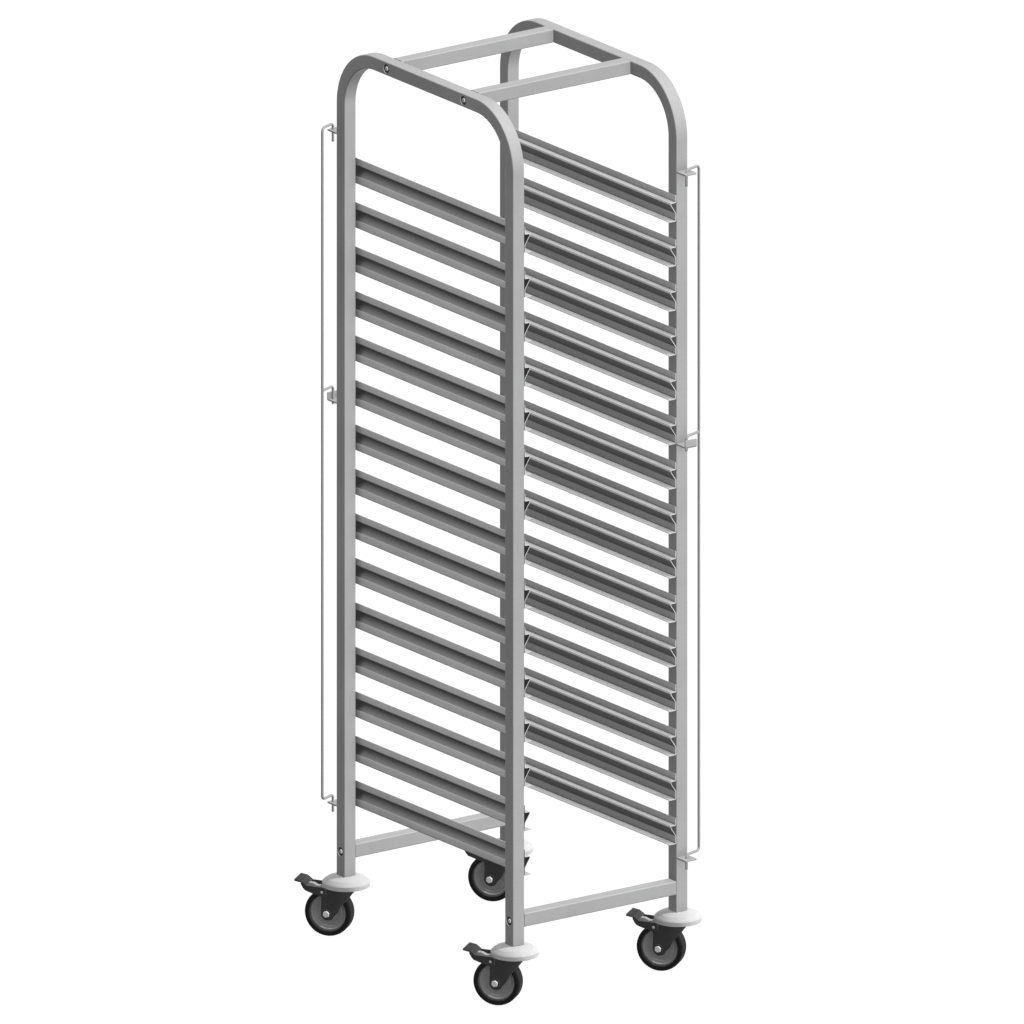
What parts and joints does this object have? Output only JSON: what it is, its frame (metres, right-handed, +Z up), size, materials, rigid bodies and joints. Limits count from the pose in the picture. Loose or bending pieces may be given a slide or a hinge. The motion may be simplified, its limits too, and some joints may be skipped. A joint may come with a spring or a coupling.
{
  "type": "sheet pan rack",
  "caption": "Tall wheeled rack of bent square-tube hoops with folded sheet rails that carry sheet pans by their rims, swing-out wire latch bars and braked swivel casters.",
  "frame": {"origin": "on the floor, at the middle of the rack's whole footprint with the casters parked; the middle of the tube frame is at x 14 mm, y -21 mm, because the parked brake pedals reach past the left side and the rear", "axes": "+X across the rack to the right, -Y out of the front, where pans go in, +Z up"},
  "size_m": [0.468, 0.639, 1.654],
  "materials": {
    "frame_steel": "satin brushed stainless tube",
    "rail_steel": "mill-finish stainless sheet with fine lengthwise grain",
    "wire_steel": "smooth bright drawn wire",
    "zinc_steel": "bright zinc-plated fasteners",
    "bumper_plastic": "pale grey moulded plastic with a fine texture",
    "caster_steel": "semi-gloss black coated pressed steel",
    "tyre_rubber": "matte black rubber tread",
    "wheel_core": "dark grey moulded wheel core"
  },
  "bodies": {
    "frame": {"left_hoop": "frame_steel", "right_hoop": "frame_steel", "top_front_crossbar": "frame_steel", "top_rear_crossbar": "frame_steel", "bottom_front_crossbar": "frame_steel", "bottom_rear_crossbar": "frame_steel", "left_rail_01": "rail_steel", "left_rail_02": "rail_steel", "left_rail_03": "rail_steel", "left_rail_04": "rail_steel", "left_rail_05": "rail_steel", "left_rail_06": "rail_steel", "left_rail_07": "rail_steel", "left_rail_08": "rail_steel", "left_rail_09": "rail_steel", "left_rail_10": "rail_steel", "left_rail_11": "rail_steel", "left_rail_12": "rail_steel", "left_rail_13": "rail_steel", "left_rail_14": "rail_steel", "left_rail_15": "rail_steel", "right_rail_01": "rail_steel", "right_rail_02": "rail_steel", "right_rail_03": "rail_steel", "right_rail_04": "rail_steel", "right_rail_05": "rail_steel", "right_rail_06": "rail_steel", "right_rail_07": "rail_steel", "right_rail_08": "rail_steel", "right_rail_09": "rail_steel", "right_rail_10": "rail_steel", "right_rail_11": "rail_steel", "right_rail_12": "rail_steel", "right_rail_13": "rail_steel", "right_rail_14": "rail_steel", "right_rail_15": "rail_steel", "front_left_bumper": "bumper_plastic", "front_right_bumper": "bumper_plastic", "rear_left_bumper": "bumper_plastic", "rear_right_bumper": "bumper_plastic"},
    "front_latch": {"front_latch_bar": "wire_steel", "front_latch_middle_arm": "wire_steel"},
    "rear_latch": {"rear_latch_bar": "wire_steel", "rear_latch_middle_arm": "wire_steel"},
    "front_left_caster": {"front_left_fork": "caster_steel", "front_left_axle": "zinc_steel"},
    "front_left_rolling_wheel": {"front_left_wheel": "tyre_rubber"},
    "front_left_pedal": {"front_left_brake_pedal": "caster_steel"},
    "front_right_caster": {"front_right_fork": "caster_steel", "front_right_axle": "zinc_steel"},
    "front_right_rolling_wheel": {"front_right_wheel": "tyre_rubber"},
    "front_right_pedal": {"front_right_brake_pedal": "caster_steel"},
    "rear_left_caster": {"rear_left_fork": "caster_steel", "rear_left_axle": "zinc_steel"},
    "rear_left_rolling_wheel": {"rear_left_wheel": "tyre_rubber"},
    "rear_left_pedal": {"rear_left_brake_pedal": "caster_steel"},
    "rear_right_caster": {"rear_right_fork": "caster_steel", "rear_right_axle": "zinc_steel"},
    "rear_right_rolling_wheel": {"rear_right_wheel": "tyre_rubber"},
    "rear_right_pedal": {"rear_right_brake_pedal": "caster_steel"}
  },
  "joints": [
    {"name": "front_latch_swing", "type": "hinge", "parent": "frame", "child": "front_latch", "pos_m": [0.19, -0.3055, 0.85], "axis": [0, 0, 1], "range_deg": [-196, 22]},
    {"name": "rear_latch_swing", "type": "hinge", "parent": "frame", "child": "rear_latch", "pos_m": [-0.168, 0.2685, 0.85], "axis": [0, 0, 1], "range_deg": [-202, 35]},
    {"name": "front_left_swivel", "type": "hinge", "parent": "frame", "child": "front_left_caster", "pos_m": [-0.1635, -0.277, 0.095], "axis": [0, 0, 1], "continuous": true},
    {"name": "front_left_roll", "type": "hinge", "parent": "front_left_caster", "child": "front_left_rolling_wheel", "pos_m": [-0.1818, -0.2526, 0.043], "axis": [0.8, 0.6, 0], "continuous": true},
    {"name": "front_left_brake_press", "type": "hinge", "parent": "front_left_caster", "child": "front_left_pedal", "pos_m": [-0.1869, -0.2458, 0.0825], "axis": [-0.8, -0.6, 0], "range_deg": [0, 10]},
    {"name": "front_right_swivel", "type": "hinge", "parent": "frame", "child": "front_right_caster", "pos_m": [0.1915, -0.277, 0.095], "axis": [0, 0, 1], "continuous": true},
    {"name": "front_right_roll", "type": "hinge", "parent": "front_right_caster", "child": "front_right_rolling_wheel", "pos_m": [0.1732, -0.2526, 0.043], "axis": [0.8, 0.6, 0], "continuous": true},
    {"name": "front_right_brake_press", "type": "hinge", "parent": "front_right_caster", "child": "front_right_pedal", "pos_m": [0.1681, -0.2458, 0.0825], "axis": [-0.8, -0.6, 0], "range_deg": [0, 10]},
    {"name": "rear_left_swivel", "type": "hinge", "parent": "frame", "child": "rear_left_caster", "pos_m": [-0.1635, 0.235, 0.095], "axis": [0, 0, 1], "continuous": true},
    {"name": "rear_left_roll", "type": "hinge", "parent": "rear_left_caster", "child": "rear_left_rolling_wheel", "pos_m": [-0.1818, 0.2594, 0.043], "axis": [0.8, 0.6, 0], "continuous": true},
    {"name": "rear_left_brake_press", "type": "hinge", "parent": "rear_left_caster", "child": "rear_left_pedal", "pos_m": [-0.1869, 0.2662, 0.0825], "axis": [-0.8, -0.6, 0], "range_deg": [0, 10]},
    {"name": "rear_right_swivel", "type": "hinge", "parent": "frame", "child": "rear_right_caster", "pos_m": [0.1915, 0.235, 0.095], "axis": [0, 0, 1], "continuous": true},
    {"name": "rear_right_roll", "type": "hinge", "parent": "rear_right_caster", "child": "rear_right_rolling_wheel", "pos_m": [0.1732, 0.2594, 0.043], "axis": [0.8, 0.6, 0], "continuous": true},
    {"name": "rear_right_brake_press", "type": "hinge", "parent": "rear_right_caster", "child": "rear_right_pedal", "pos_m": [0.1681, 0.2662, 0.0825], "axis": [-0.8, -0.6, 0], "range_deg": [0, 10]}
  ]
}
